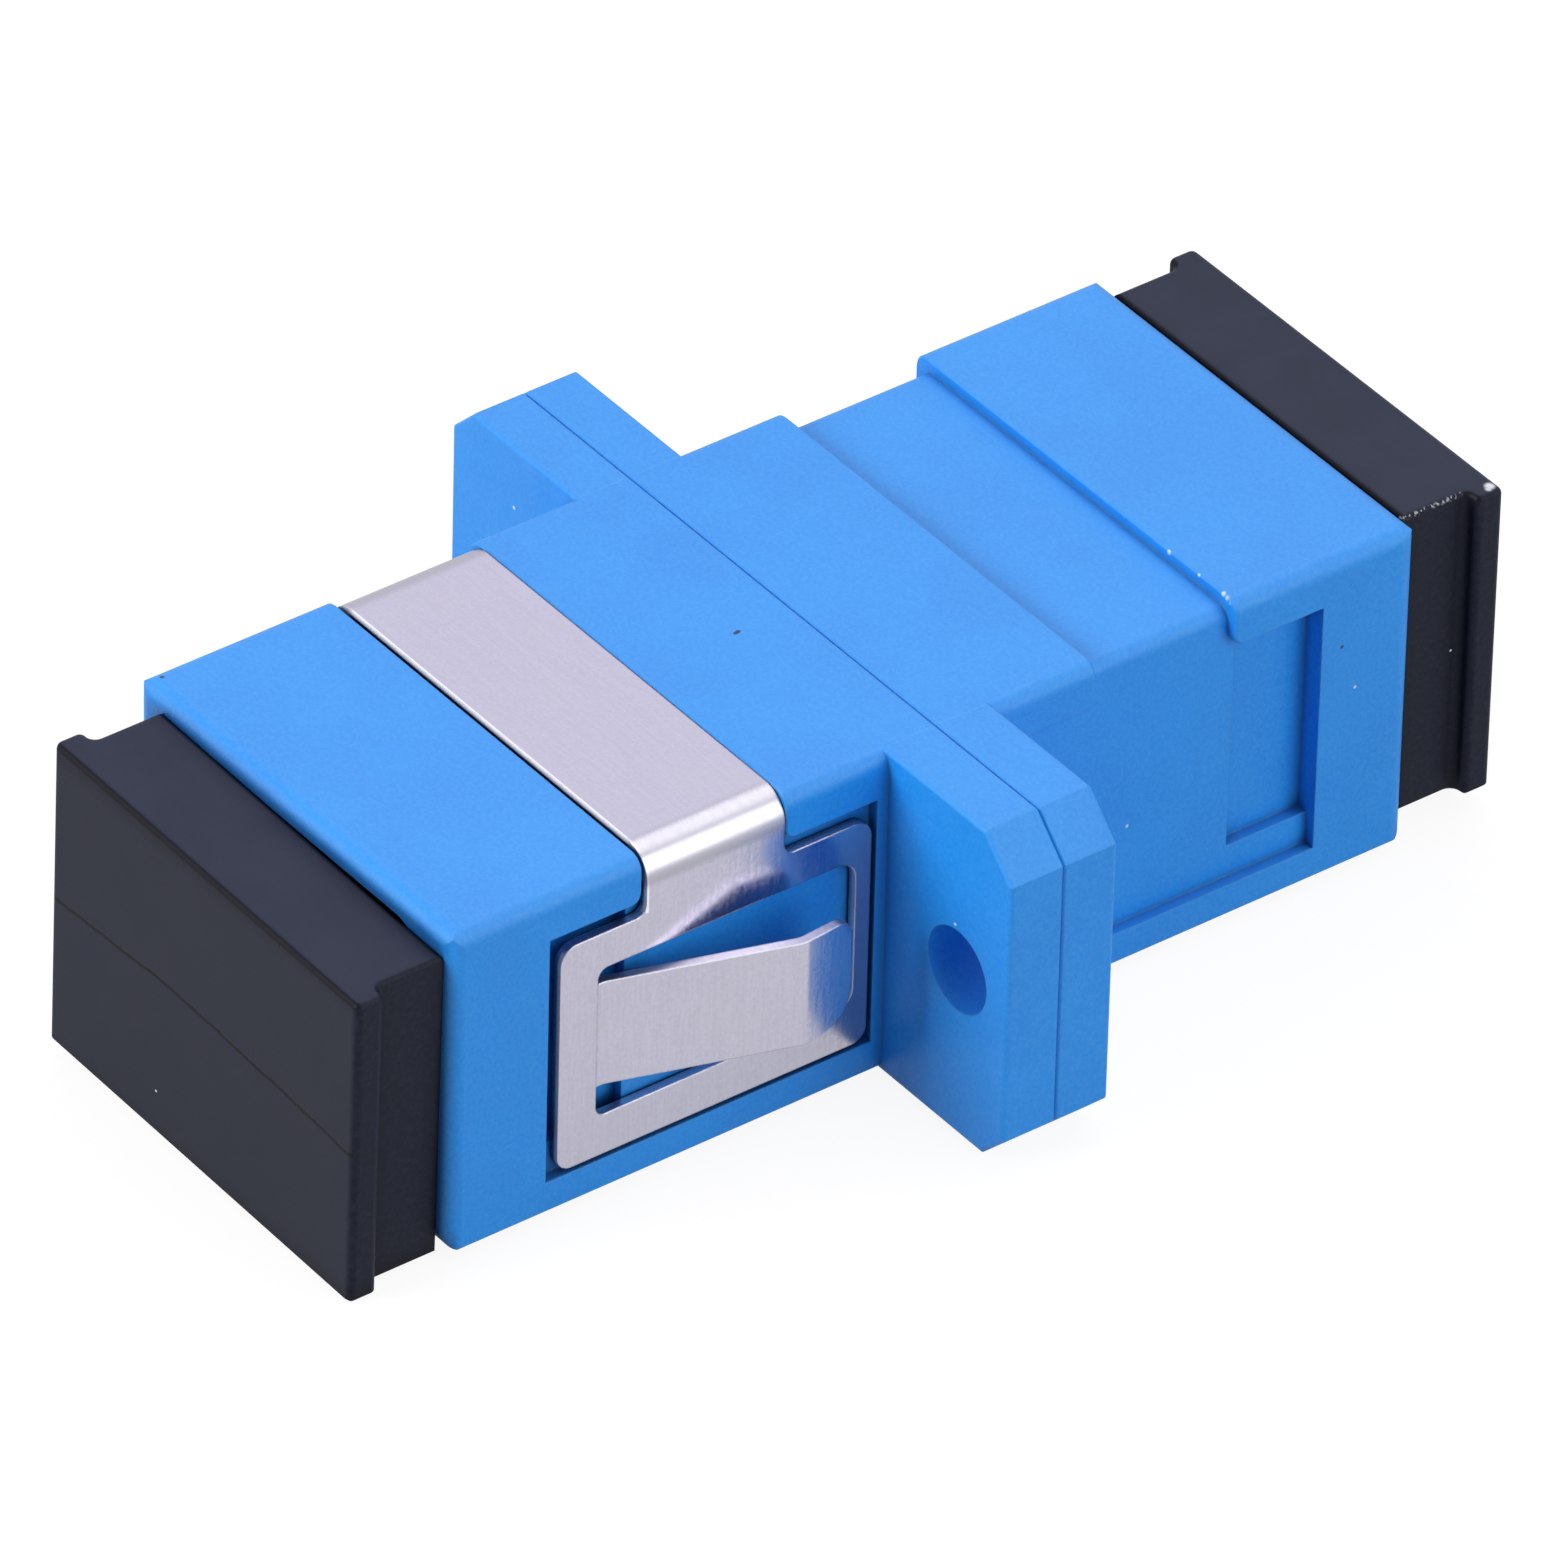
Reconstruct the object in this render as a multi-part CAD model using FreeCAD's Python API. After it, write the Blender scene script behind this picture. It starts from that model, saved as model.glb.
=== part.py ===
import FreeCAD, Part
import math
import os

# Simplex push-pull fibre adapter for 2.5 mm ferrules, in millimetres.
# Y runs along the ferrules, X across the flange and Z up through the clip's band.
# The origin is on the ferrule axis, in the plane where the two housing halves meet.
# The rear housing half is modelled, and the front one is its mirror image.

Vector = FreeCAD.Vector

# Housing half
body_width = 12.7
body_height = 9.3
half_length = 14.3
top_edge_radius = 0.45  # long edges of the top
foot_edge_radius = 0.07
mouth_edge_radius = 0.43  # edges of the end face
port_width = 9.1
port_height = 7.5
port_corner_radius = 0.4
port_lead_in = 0.3
key_slot_width = 2.6
key_slot_length = 5.6
key_slot_floor = 0.4  # wall left below the slot

# Flange half, flush with the body's top
flange_half_thickness = 1.575
screw_hole_spacing = 18.4
screw_hole_diameter = 2.3
ear_margin = 1.95  # screw hole's centre to the ear's end
ear_chamfer = 0.82
ear_wide_chamfer = 1.06  # upper corner of the +X ear
ear_edge_radius = 0.12
flange_foot = 0.1  # flange below the body's bottom
seam_bevel = 0.06

# Recess that the clip lies in: a band across the top and a wider pocket on each side
recess_depth = 0.33
recess_flange_land = 0.3  # flange to pocket
recess_end_land = 2.84  # pocket to end face
recess_foot_land = 0.88
recess_head_land = 1.3
band_recess_setback = 2.7  # pocket's flange end to the band
band_recess_width = 4.21
recess_edge_radius = 0.42
shoulder_radius = 0.3
step_edge_bevel = 0.05
mark_panel_setback = 0.25  # from the band's end wall
mark_panel_foot = 0.91  # above the pocket's foot
mark_panel_depth = 0.33  # sunk panel for a marking, which is left off

# Clip, folded from one strip
sheet_thickness = 0.25
clip_seat_gap = 0.07  # sheet to recess floor
clip_bend_slack = 1.9  # seat gaps by which the bend is wider than the edge inside it, 3.4 at most
clip_side_gap = 0.15  # band to the recess's end wall
clip_flange_gap = 0.03
leg_flange_gap = 0.14
leg_end_gap = 0.34
leg_foot_gap = 0.14
leg_head_gap = 0.42
leg_foot_radius = 0.42
leg_head_radius = 0.5
neck_fillet = 0.3
window_column = 1.1  # leg left at the window's port side
window_strip = 0.45  # leg left at its flange side
window_foot = 1.17
window_head = 1.03
window_slot_radius = 0.3
window_far_radius = 0.55
panel_thickness = 2.0  # sheet held between the flange and the tongues' free ends
tongue_head_slot = 0.42  # window left open above the tongue
tongue_foot_slot = 0.91
tongue_root_setback = 0.25
tongue_rise = 1.5
tongue_tip_run = 1.46
tongue_tip_dip = 0.12
tongue_bend_radius = 0.5
tongue_corner_radius = 1.05
tongue_upper_radius = 0.45

# Latch holder
holder_width = 9.8
holder_height = 7.8
holder_thickness = 1.25
holder_corner_radius = 0.4
holder_gap = 0.05
barrel_wall = 0.7
barrel_collar_width = 0.55
barrel_collar_height = 0.5
barrel_lip = 0.6
barrel_tip_chamfer = 0.25
lip_clearance = 0.1  # round a ferrule
lip_lead_in = 0.25
arm_inner = 3.5  # from the ferrule axis
arm_thickness = 0.8
arm_height = 4.4
arm_length = 8.1
arm_foot_radius = 0.3
hook_depth = 0.65
hook_length = 1.35
hook_ramp = 0.65
hook_edge_radius = 0.1
arm_flex_room = 0.65  # between an arm and the housing wall
arm_side_room = 0.7
arm_end_room = 1.9

# Split alignment sleeve
ferrule_diameter = 2.5
sleeve_wall = 0.35
sleeve_length = 11.4
sleeve_slit = 0.5
sleeve_bevel = 0.08
sleeve_gap = 0.05
sleeve_end_play = 0.1

# Dust cap
cap_side_inset = 0.66  # block inside the body's sides
cap_top_inset = 0.18  # block inside the body's top and bottom
cap_depth = 2.8
cap_lip_thickness = 0.82
cap_lip_height = 0.44
cap_lip_root_radius = 0.22
cap_corner_radius = 0.2  # upright edges of the lips
cap_top_radius = 0.18
cap_foot_bevel = 0.12
cap_side_play = 0.36  # plug to port, each side, when the cap is central
cap_drop_play = 0.5  # plug to port, above and below
cap_roll = 1.2  # degrees that a loose cap turns in its port
cap_rest_gap = 0.06  # where its plug leans on the port's walls
plug_end_gap = 0.5  # from the latch arms' tips
plug_wall = 0.8
plug_corner_radius = 0.4
plug_lead_in = 0.25
cap_end_wall = 1.2


def arc_at(before, corner, after, radius):
    """Start, middle and end of the arc that rounds a corner."""
    back = (before - corner).normalize()
    on = (after - corner).normalize()
    half_angle = back.getAngle(on) / 2
    reach = radius / math.tan(half_angle)
    bisector = (back + on).normalize()
    centre = corner + bisector * (radius / math.sin(half_angle))
    return corner + back * reach, centre - bisector * radius, corner + on * reach


def outline(corners):
    """Closed wire in a plane through (u, v, radius) corners, each rounded by its radius."""
    flat = [Vector(u, v, 0) for u, v, _ in corners]
    arcs = []
    for i, (_, _, radius) in enumerate(corners):
        before, corner, after = flat[i - 1], flat[i], flat[(i + 1) % len(flat)]
        arcs.append(arc_at(before, corner, after, radius) if radius > 0 else (corner,) * 3)
    edges = []
    for i, (start, middle, end) in enumerate(arcs):
        if corners[i][2] > 0:
            edges.append(Part.Arc(start, middle, end).toShape())
        next_start = arcs[(i + 1) % len(arcs)][0]
        edges.append(Part.LineSegment(end, next_start).toShape())
    return Part.Wire(edges)


def prism(corners, axis, low, high):
    """Solid of an outline along an axis: corners are (y, z) for X, (x, z) for Y and (x, y) for Z."""
    step = {"X": Vector(1, 0, 0), "Y": Vector(0, 1, 0), "Z": Vector(0, 0, 1)}[axis]
    turn = {
        "X": FreeCAD.Rotation(Vector(1, 1, 1), 120),
        "Y": FreeCAD.Rotation(Vector(1, 0, 0), 90),
        "Z": FreeCAD.Rotation(),
    }[axis]
    face = Part.Face(outline(corners))
    face.Placement = FreeCAD.Placement(step * low, turn)
    return face.extrude(step * (high - low))


def rectangle(u_low, u_high, v_low, v_high, radius=0):
    corners = [(u_low, v_low), (u_high, v_low), (u_high, v_high), (u_low, v_high)]
    return [(u, v, radius) for u, v in corners]


def centred(width, height, radius=0):
    return rectangle(-width / 2, width / 2, -height / 2, height / 2, radius)


def mirrored(corners):
    """The corners on the other side of the v axis, in an order that carries the outline on."""
    return [(-u, v, radius) for u, v, radius in reversed(corners)]


def both_sides(shape):
    """The shape and its mirror image across the ferrule axis."""
    return [shape, shape.mirror(Vector(0, 0, 0), Vector(1, 0, 0))]


def edges_where(shape, test):
    """Edges whose two ends and middle all pass the test."""
    found = []
    for edge in shape.Edges:
        middle = edge.valueAt((edge.FirstParameter + edge.LastParameter) / 2)
        if all(test(p) for p in [v.Point for v in edge.Vertexes] + [middle]):
            found.append(edge)
    return found


def at(value, target):
    return abs(value - target) < 0.001


def front_twin(shape):
    """The mirror image of a rear part, as it sits in front."""
    return shape.mirror(Vector(0, 0, 0), Vector(0, 1, 0))


def ear(upper_chamfer):
    """Outline of the flange on one side, from its lower corner to its upper one."""
    x, top = screw_hole_spacing / 2 + ear_margin, body_height / 2
    foot = -top - flange_foot
    lower = [(x - ear_chamfer, foot, 0), (x, foot + ear_chamfer, 0)]
    return lower + [(x, top - upper_chamfer, 0), (x - upper_chamfer, top, 0)]


def outer_block():
    """Body and flange half, solid, with the edges that the mould rounds."""
    x, z = body_width / 2, body_height / 2
    lower = [(-x, -z, foot_edge_radius), (x, -z, foot_edge_radius)]
    upper = [(x, z, top_edge_radius), (-x, z, top_edge_radius)]
    section = prism(lower + upper, "Y", 0, half_length)
    end, edge = half_length, mouth_edge_radius
    side_view = [(0, -z, 0), (end, -z, edge), (end, z, edge), (0, z, 0)]
    plan = [(-x, 0, 0), (x, 0, 0), (x, end, edge), (-x, end, edge)]
    body = section.common(prism(side_view, "X", -x, x)).common(prism(plan, "Z", -z, z))

    flange = prism(ear(ear_wide_chamfer) + mirrored(ear(ear_chamfer)), "Y", 0, flange_half_thickness)
    flange = flange.makeFillet(ear_edge_radius, edges_where(flange, lambda p: at(p.y, flange_half_thickness)))
    block = body.fuse(flange).removeSplitter()
    return block.makeChamfer(seam_bevel, edges_where(block, lambda p: at(p.y, 0)))


def recess_floors():
    """X of the side pockets' floor and Z of the band's floor."""
    return body_width / 2 - recess_depth, body_height / 2 - recess_depth


def pocket_ends():
    """Where a side pocket starts and ends along Y and Z."""
    return (
        flange_half_thickness + recess_flange_land,
        half_length - recess_end_land,
        -body_height / 2 + recess_foot_land,
        body_height / 2 - recess_head_land,
    )


def band_ends():
    start = pocket_ends()[0] + band_recess_setback
    return start, start + band_recess_width


def clip_recess():
    """What the clip's recess takes out: a pocket on each side, joined by a band over the top."""
    start, end, foot, head = pocket_ends()
    band_start, band_end = band_ends()
    top = body_height
    side_view = [
        (start, foot, 0),
        (end, foot, 0),
        (end, head, 0),
        (band_end, head, shoulder_radius),
        (band_end, top, 0),
        (band_start, top, 0),
        (band_start, head, shoulder_radius),
        (start, head, 0),
    ]
    tool = prism(side_view, "X", -body_width, body_width)
    floor_x, floor_z = recess_floors()
    return tool.cut(prism(centred(2 * floor_x, 2 * floor_z, recess_edge_radius), "Y", 0, half_length))


def mark_panel():
    _, end, foot, head = pocket_ends()
    start = band_ends()[1] + mark_panel_setback
    floor = recess_floors()[0]
    side_view = rectangle(start, end, foot + mark_panel_foot, head)
    return prism(side_view, "X", floor - mark_panel_depth, floor + recess_depth / 2)


def port_cavity():
    """Port, room for the latch arms to flex, seat of the latch holder and the key slot."""
    port = prism(centred(port_width, port_height, port_corner_radius), "Y", 0, half_length)
    flex_width = 2 * (arm_inner + arm_thickness + arm_flex_room)
    flex = prism(centred(flex_width, arm_height + 2 * arm_side_room), "Y", 0, arm_length + arm_end_room)
    seat_size = (holder_width + 2 * holder_gap, holder_height + 2 * holder_gap)
    seat = prism(centred(*seat_size, holder_corner_radius), "Y", 0, holder_thickness + holder_gap)
    slot_side = rectangle(-key_slot_width / 2, key_slot_width / 2, key_slot_floor - body_height / 2, 0)
    slot = prism(slot_side, "Y", half_length - key_slot_length, half_length)
    mouth = centred(port_width, port_height, port_corner_radius)
    wide = centred(
        port_width + 2 * port_lead_in, port_height + 2 * port_lead_in, port_corner_radius + port_lead_in
    )
    inner, outer = outline(mouth), outline(wide)
    upright = FreeCAD.Rotation(Vector(1, 0, 0), 90)
    inner.Placement = FreeCAD.Placement(Vector(0, half_length - port_lead_in, 0), upright)
    outer.Placement = FreeCAD.Placement(Vector(0, half_length, 0), upright)
    lead_in = Part.makeLoft([inner, outer], True, True)
    return port.fuse([flex, seat, slot, lead_in])


def housing_half():
    half = outer_block().cut(clip_recess())
    floor_x, floor_z = recess_floors()

    def step_edge(p):
        on_step = any(at(p.y, y) for y in band_ends())
        return on_step and (abs(p.x) > floor_x + step_edge_bevel or p.z > floor_z + step_edge_bevel)
    half = half.makeChamfer(step_edge_bevel, edges_where(half, step_edge))
    half = half.cut(both_sides(mark_panel())).cut(port_cavity())
    hole = Part.makeCylinder(
        screw_hole_diameter / 2, flange_half_thickness, Vector(screw_hole_spacing / 2, 0, 0), Vector(0, 1, 0)
    )
    return half.cut(both_sides(hole))


def folded_sheet(outer_points, bend_radius):
    """Outline of a sheet of one thickness whose outer face runs through the points, the sheet on its left."""
    flat = [Vector(u, v, 0) for u, v in outer_points]
    steps = [(b - a).normalize() for a, b in zip(flat, flat[1:])]
    lefts = [Vector(-s.y, s.x, 0) for s in steps]
    inner = [flat[0] + lefts[0] * sheet_thickness]
    for point, one, other in zip(flat[1:], lefts, lefts[1:]):
        mitre = (one + other).normalize()
        inner.append(point + mitre * (sheet_thickness / mitre.dot(one)))
    inner.append(flat[-1] + lefts[-1] * sheet_thickness)
    turns = [a.cross(b).z for a, b in zip(steps, steps[1:])]
    corners = [(flat[0].x, flat[0].y, 0)]
    for point, turn in zip(flat[1:], turns):
        corners.append((point.x, point.y, bend_radius + (sheet_thickness if turn > 0 else 0)))
    corners.append((flat[-1].x, flat[-1].y, 0))
    corners.append((inner[-1].x, inner[-1].y, 0))
    for point, turn in reversed(list(zip(inner[1:], turns))):
        corners.append((point.x, point.y, bend_radius + (sheet_thickness if turn < 0 else 0)))
    corners.append((inner[0].x, inner[0].y, 0))
    return corners


def leg_ends():
    """Where the clip's leg starts and ends along Y and Z."""
    start, end, foot, head = pocket_ends()
    return start + leg_flange_gap, end - leg_end_gap, foot + leg_foot_gap, head - leg_head_gap


def window_ends():
    """Where the window in the clip's leg starts and ends along Y and Z."""
    start, end, foot, head = leg_ends()
    return start + window_strip, end - window_column, foot + window_foot, head - window_head


def clip_tongue():
    """Tongue rising from the leg's port-side column to a kink, and ending a panel's width off the flange."""
    _, column, window_low, window_top = window_ends()
    inner_x = recess_floors()[0] + clip_seat_gap
    outer_x = inner_x + sheet_thickness
    tip = flange_half_thickness + panel_thickness
    crest_x = outer_x + tongue_rise
    bends = folded_sheet(
        [
            (outer_x, column + window_column / 2),
            (outer_x, column - tongue_root_setback),
            (crest_x, tip + tongue_tip_run),
            (crest_x - tongue_tip_dip, tip),
        ],
        tongue_bend_radius,
    )
    low, high = window_low + tongue_foot_slot, window_top - tongue_head_slot
    face = [
        (tip, low, tongue_corner_radius),
        (column + window_column, low, 0),
        (column + window_column, high, 0),
        (tip, high, tongue_upper_radius),
    ]
    return prism(bends, "Z", low, high).common(prism(face, "X", inner_x, crest_x + sheet_thickness))


def mounting_clip():
    start, end, foot, head = leg_ends()
    band_start, band_end = band_ends()
    inner_x, inner_z = [floor + clip_seat_gap for floor in recess_floors()]
    outer_x, outer_z = inner_x + sheet_thickness, inner_z + sheet_thickness
    inner_bend = recess_edge_radius + clip_bend_slack * clip_seat_gap
    outer_bend = inner_bend + sheet_thickness
    outside = [(outer_x, foot, 0), (outer_x, outer_z, outer_bend)]
    inside = [(inner_x, inner_z, inner_bend), (inner_x, foot, 0)]
    section = outside + mirrored(outside) + mirrored(inside) + inside
    neck_start, neck_end = band_start + clip_flange_gap, band_end - clip_side_gap
    leg = [
        (start, foot, leg_foot_radius), (end, foot, leg_foot_radius),
        (end, head, leg_head_radius), (neck_end, head, neck_fillet),
        (neck_end, body_height, 0), (neck_start, body_height, 0),
        (neck_start, head, neck_fillet), (start, head, leg_head_radius),
    ]
    strip = prism(section, "Y", start, end).common(prism(leg, "X", -body_width, body_width))
    near, far, low, high = window_ends()
    window = [
        (near, low, window_far_radius), (far, low, window_slot_radius),
        (far, high, window_slot_radius), (near, high, window_far_radius),
    ]
    strip = strip.cut(prism(window, "X", -body_width, body_width))
    return strip.fuse(both_sides(clip_tongue())).removeSplitter()


def barrel():
    """Turned form of the ferrule barrel, with the lip that keeps the sleeve in."""
    bore = ferrule_diameter / 2 + sleeve_wall + sleeve_gap
    lip = ferrule_diameter / 2 + lip_clearance
    outer = bore + barrel_wall
    collar = outer + barrel_collar_width
    lip_start = sleeve_length / 2 + sleeve_end_play
    tip = lip_start + barrel_lip
    profile = [
        (bore, 0), (bore, lip_start), (lip, lip_start), (lip, tip - lip_lead_in), (lip + lip_lead_in, tip),
        (outer - barrel_tip_chamfer, tip), (outer, tip - barrel_tip_chamfer),
        (outer, holder_thickness + barrel_collar_height), (collar, holder_thickness), (collar, 0),
    ]
    points = [Vector(r, y, 0) for r, y in profile]
    return Part.Face(Part.makePolygon(points + points[:1])).revolve(Vector(0, 0, 0), Vector(0, 1, 0), 360)


def latch_arm():
    outer = arm_inner + arm_thickness
    hook_x = arm_inner - hook_depth
    soft = hook_edge_radius
    side_view = [
        (arm_inner, 0, 0), (outer, 0, 0), (outer, arm_length - hook_ramp, soft),
        (outer - hook_ramp / 3, arm_length, soft), (arm_inner - hook_depth / 3, arm_length, soft),
        (hook_x, arm_length - hook_ramp, soft), (hook_x, arm_length - hook_length + hook_ramp / 2, soft),
        (arm_inner, arm_length - hook_length, soft),
    ]
    return prism(side_view, "Z", -arm_height / 2, arm_height / 2)


def latch_holder():
    base = prism(centred(holder_width, holder_height, holder_corner_radius), "Y", 0, holder_thickness)
    holder = base.fuse(both_sides(latch_arm())).removeSplitter()

    def arm_foot(p):
        return at(p.y, holder_thickness) and at(abs(p.x), arm_inner) and abs(p.z) <= arm_height / 2 + 0.001
    holder = holder.makeFillet(arm_foot_radius, edges_where(holder, arm_foot))
    through = Part.makeCylinder(
        ferrule_diameter / 2 + sleeve_wall + sleeve_gap + barrel_wall / 2,
        holder_thickness, Vector(0, 0, 0), Vector(0, 1, 0),
    )
    return holder.cut(through).fuse(barrel()).removeSplitter()


def alignment_sleeve():
    inner = ferrule_diameter / 2
    outer = inner + sleeve_wall
    end, bevel = sleeve_length / 2, sleeve_bevel
    profile = [
        (inner, -end), (outer - bevel, -end), (outer, -end + bevel),
        (outer, end - bevel), (outer - bevel, end), (inner, end),
    ]
    points = [Vector(r, y, 0) for r, y in profile]
    tube = Part.Face(Part.makePolygon(points + points[:1])).revolve(Vector(0, 0, 0), Vector(0, 1, 0), 360)
    slit = prism(rectangle(-sleeve_slit / 2, sleeve_slit / 2, 0, 2 * outer), "Y", -end, end)
    return tube.cut(slit)


def dust_cap():
    """Block with a finger lip on each side of its end, and a hollow plug that goes into the port."""
    x, z = body_width / 2 - cap_side_inset, body_height / 2 - cap_top_inset
    end = half_length + cap_depth
    lip_x, lip_start = x + cap_lip_height, end - cap_lip_thickness
    plan = [
        (x, half_length, 0), (x, lip_start, cap_lip_root_radius),
        (lip_x, lip_start, cap_corner_radius), (lip_x, end, cap_corner_radius),
    ]
    cap = prism(plan + mirrored(plan), "Z", -z, z)
    cap = cap.makeFillet(cap_top_radius, edges_where(cap, lambda p: at(p.z, z)))
    cap = cap.makeChamfer(cap_foot_bevel, edges_where(cap, lambda p: at(p.z, -z)))
    plug_width, plug_height = port_width - 2 * cap_side_play, port_height - 2 * cap_drop_play
    plug_tip = arm_length + plug_end_gap
    plug = prism(centred(plug_width, plug_height, plug_corner_radius), "Y", plug_tip, half_length)
    plug = plug.makeChamfer(plug_lead_in, edges_where(plug, lambda p: at(p.y, plug_tip)))
    hollow_size = (plug_width - 2 * plug_wall, plug_height - 2 * plug_wall)
    hollow = prism(centred(*hollow_size, plug_corner_radius), "Y", plug_tip, end - cap_end_wall)
    return cap.fuse(plug).cut(hollow).removeSplitter()


def leaning(cap):
    """A loose cap, dropped and turned until its plug leans on the port's lower and right-hand walls."""
    roll = math.radians(cap_roll)
    reach_x = port_width / 2 - cap_side_play - plug_corner_radius
    reach_z = port_height / 2 - cap_drop_play - plug_corner_radius
    turned_x = reach_x * math.cos(roll) + reach_z * math.sin(roll)
    turned_z = reach_z * math.cos(roll) + reach_x * math.sin(roll)
    lean = port_width / 2 - plug_corner_radius - cap_rest_gap - turned_x
    drop = port_height / 2 - plug_corner_radius - cap_rest_gap - turned_z
    copy = cap.copy()
    copy.rotate(Vector(0, 0, 0), Vector(0, 1, 0), cap_roll)
    copy.translate(Vector(lean, 0, -drop))
    return copy


def build():
    housing = housing_half()
    holder = latch_holder()
    cap = dust_cap()
    nodes = {
        "front_housing": front_twin(housing),
        "rear_housing": housing,
        "mounting_clip": front_twin(mounting_clip()),
        "front_latch_holder": front_twin(holder),
        "rear_latch_holder": holder,
        "alignment_sleeve": alignment_sleeve(),
        "front_dust_cap": leaning(front_twin(cap)),
        "rear_dust_cap": cap,
    }
    os.makedirs("parts", exist_ok=True)
    for name, shape in nodes.items():
        shape = shape.Solids[0] if len(shape.Solids) == 1 else shape
        shape.exportStep(f"parts/{name}.step")
        size = shape.BoundBox
        print(
            f"{name}: valid {shape.isValid()}, {len(shape.Solids)} solid, {len(shape.Faces)} faces,"
            f" {size.XLength:.2f} x {size.YLength:.2f} x {size.ZLength:.2f}, volume {shape.Volume:.2f}"
        )


build()
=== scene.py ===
# Dresses a flanged simplex fibre adapter: blue moulded halves, spring clip, black dust caps.
import math
import bmesh
import bpy
from mathutils import Matrix, Vector


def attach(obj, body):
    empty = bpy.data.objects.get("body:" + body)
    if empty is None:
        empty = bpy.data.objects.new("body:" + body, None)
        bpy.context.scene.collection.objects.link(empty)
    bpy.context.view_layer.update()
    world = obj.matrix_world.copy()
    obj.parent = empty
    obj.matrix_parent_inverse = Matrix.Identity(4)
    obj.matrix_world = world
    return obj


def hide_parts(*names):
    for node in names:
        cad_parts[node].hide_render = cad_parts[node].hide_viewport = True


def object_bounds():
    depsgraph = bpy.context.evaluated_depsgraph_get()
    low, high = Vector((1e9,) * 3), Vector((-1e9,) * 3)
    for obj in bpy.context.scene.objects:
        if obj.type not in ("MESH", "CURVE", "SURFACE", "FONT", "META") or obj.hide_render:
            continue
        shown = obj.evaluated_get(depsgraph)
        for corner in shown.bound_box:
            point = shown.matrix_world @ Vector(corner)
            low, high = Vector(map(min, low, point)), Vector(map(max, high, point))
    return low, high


mm = 0.001

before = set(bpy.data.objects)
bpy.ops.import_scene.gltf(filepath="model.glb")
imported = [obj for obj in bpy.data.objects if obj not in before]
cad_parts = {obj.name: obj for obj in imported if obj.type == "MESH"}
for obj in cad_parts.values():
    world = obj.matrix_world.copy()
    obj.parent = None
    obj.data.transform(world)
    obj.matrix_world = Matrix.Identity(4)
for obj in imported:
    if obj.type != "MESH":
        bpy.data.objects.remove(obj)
cadBox = [list(corner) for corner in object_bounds()]
print("frame loaded:", ", ".join(sorted(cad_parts)))


# building blocks for the node materials

def startMaterial(name):
    material = bpy.data.materials.new(name)
    material.use_nodes = True
    tree = material.node_tree
    tree.nodes.clear()
    output = tree.nodes.new("ShaderNodeOutputMaterial")
    shader = tree.nodes.new("ShaderNodeBsdfPrincipled")
    tree.links.new(shader.outputs[0], output.inputs[0])
    return material, tree, shader


def plug(tree, socket, value):
    # a socket is linked, anything else is set
    if isinstance(value, bpy.types.NodeSocket):
        tree.links.new(value, socket)
    else:
        socket.default_value = value


def calc(tree, operation, a, b=0.0, c=0.0):
    node = tree.nodes.new("ShaderNodeMath")
    node.operation = operation
    for socket, value in zip(node.inputs, (a, b, c)):
        plug(tree, socket, value)
    return node.outputs[0]


def scaled(tree, value, factor):
    return calc(tree, "MULTIPLY", value, factor)


def blendColours(tree, factor, a, b):
    node = tree.nodes.new("ShaderNodeMix")
    node.data_type = "RGBA"
    plug(tree, node.inputs[0], factor)
    plug(tree, node.inputs[6], a)
    plug(tree, node.inputs[7], b)
    return node.outputs[2]


def remap(tree, value, low, high, newLow=0.0, newHigh=1.0):
    # eases from newLow at low to newHigh at high, and low may be the larger one
    node = tree.nodes.new("ShaderNodeMapRange")
    node.interpolation_type = "SMOOTHSTEP"
    for socket, number in zip(node.inputs, (value, low, high, newLow, newHigh)):
        plug(tree, socket, number)
    return node.outputs[0]


def inMillimetres(tree, stretch=(1, 1, 1)):
    # the piece's own coordinates, in millimetres
    coords = tree.nodes.new("ShaderNodeTexCoord")
    mapping = tree.nodes.new("ShaderNodeMapping")
    mapping.inputs["Scale"].default_value = [1000 * s for s in stretch]
    tree.links.new(coords.outputs["Object"], mapping.inputs[0])
    return mapping.outputs[0]


def grainNoise(tree, coords, scale, detail, roughness):
    node = tree.nodes.new("ShaderNodeTexNoise")
    node.noise_dimensions = "3D"
    plug(tree, node.inputs["Vector"], coords)
    node.inputs["Scale"].default_value = scale
    node.inputs["Detail"].default_value = detail
    node.inputs["Roughness"].default_value = roughness
    return node.outputs["Fac"]


def axes(tree, vector):
    node = tree.nodes.new("ShaderNodeSeparateXYZ")
    plug(tree, node.inputs[0], vector)
    return node.outputs


def softEdges(tree, radius):
    # the normal as if every edge had a small radius
    node = tree.nodes.new("ShaderNodeBevel")
    node.samples = 3
    node.inputs["Radius"].default_value = radius
    return node.outputs[0]


def crevice(tree, reach):
    # 0 in the open, towards 1 where other surfaces stand closer than the reach
    node = tree.nodes.new("ShaderNodeAmbientOcclusion")
    node.samples = 3
    node.inputs["Distance"].default_value = reach
    return calc(tree, "SUBTRACT", 1.0, node.outputs["AO"])


def relief(tree, height, depth, strength, normal=None):
    node = tree.nodes.new("ShaderNodeBump")
    node.inputs["Strength"].default_value = strength
    node.inputs["Distance"].default_value = depth
    plug(tree, node.inputs["Height"], height)
    if normal is not None:
        plug(tree, node.inputs["Normal"], normal)
    return node.outputs[0]


def away(tree, coords, centre):
    # distance from a point, in millimetres
    node = tree.nodes.new("ShaderNodeVectorMath")
    node.operation = "DISTANCE"
    plug(tree, node.inputs[0], coords)
    node.inputs[1].default_value = centre
    return node.outputs["Value"]


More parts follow.
